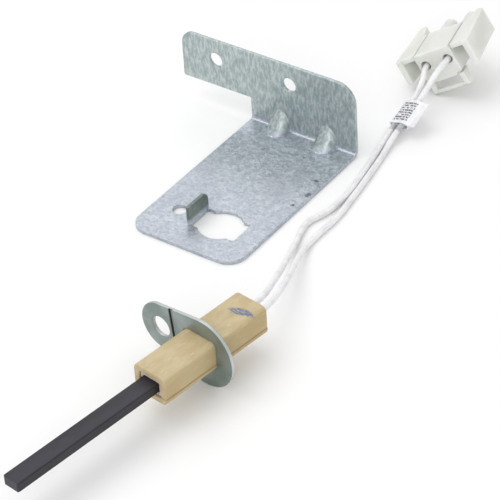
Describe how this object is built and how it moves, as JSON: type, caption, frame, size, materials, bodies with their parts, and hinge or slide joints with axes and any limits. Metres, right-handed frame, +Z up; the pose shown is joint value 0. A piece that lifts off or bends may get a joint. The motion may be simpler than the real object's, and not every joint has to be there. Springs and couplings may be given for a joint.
{
  "type": "ignition electrode",
  "caption": "Flat ceramic ignition element in a flanged ceramic block, with two leads to a two-way connector and a bent sheet mounting bracket.",
  "frame": {"origin": "on the surface that the parts lie on, under the middle of the igniter and the bracket", "axes": "+Z up; +Y from the element's tip along the igniter towards its leads; +X to the right of the igniter seen from its tip"},
  "size_m": [0.087, 0.1876, 0.0196],
  "materials": {
    "steatite": "unglazed pressed steatite",
    "silicon_nitride": "ground silicon nitride",
    "cement": "set ceramic cement",
    "zinc_steel": "dull zinc plate",
    "galvanised": "galvanised sheet with fine spangle",
    "nickel": "bare nickel",
    "tinned_brass": "tin plate on brass",
    "insulation": "smooth white insulation",
    "nylon": "moulded natural nylon",
    "label": "white adhesive label"
  },
  "bodies": {
    "igniter": {"ceramic_block": "steatite", "nitride_element": "silicon_nitride", "front_cement": "cement", "rear_cement": "cement", "locating_flange": "zinc_steel", "nickel_lead_left": "nickel", "nickel_lead_right": "nickel", "crimp_splice_left": "nickel", "crimp_splice_right": "nickel", "lead_wire_left": "insulation", "lead_wire_right": "insulation", "identification_tag": "label", "connector_housing": "nylon", "crimp_contact_left": "tinned_brass", "crimp_contact_right": "tinned_brass"},
    "bracket": {"mounting_bracket": "galvanised"},
    "latch": {"connector_latch": "nylon"},
    "ear_left": {"panel_ear_left": "nylon"},
    "ear_right": {"panel_ear_right": "nylon"}
  },
  "joints": [
    {"name": "bracket_lift", "type": "slide", "parent": "igniter", "child": "bracket", "axis": [0, 0, 1], "range_m": [0, 0.03]},
    {"name": "latch_flex", "type": "hinge", "parent": "igniter", "child": "latch", "pos_m": [0.00579, 0.10167, 0.00587], "axis": [-0.8077, -0.3052, -0.5045], "range_deg": [0, 10], "stiffness_Nm_per_rad": 0.01},
    {"name": "ear_left_flex", "type": "hinge", "parent": "igniter", "child": "ear_left", "pos_m": [-0.00418, 0.10464, 0.00931], "axis": [0.3535, -0.9354, 0], "range_deg": [0, 10], "stiffness_Nm_per_rad": 0.01},
    {"name": "ear_right_flex", "type": "hinge", "parent": "igniter", "child": "ear_right", "pos_m": [0.00455, 0.10794, 0.01476], "axis": [-0.3535, 0.9354, 0], "range_deg": [0, 10], "stiffness_Nm_per_rad": 0.01}
  ]
}
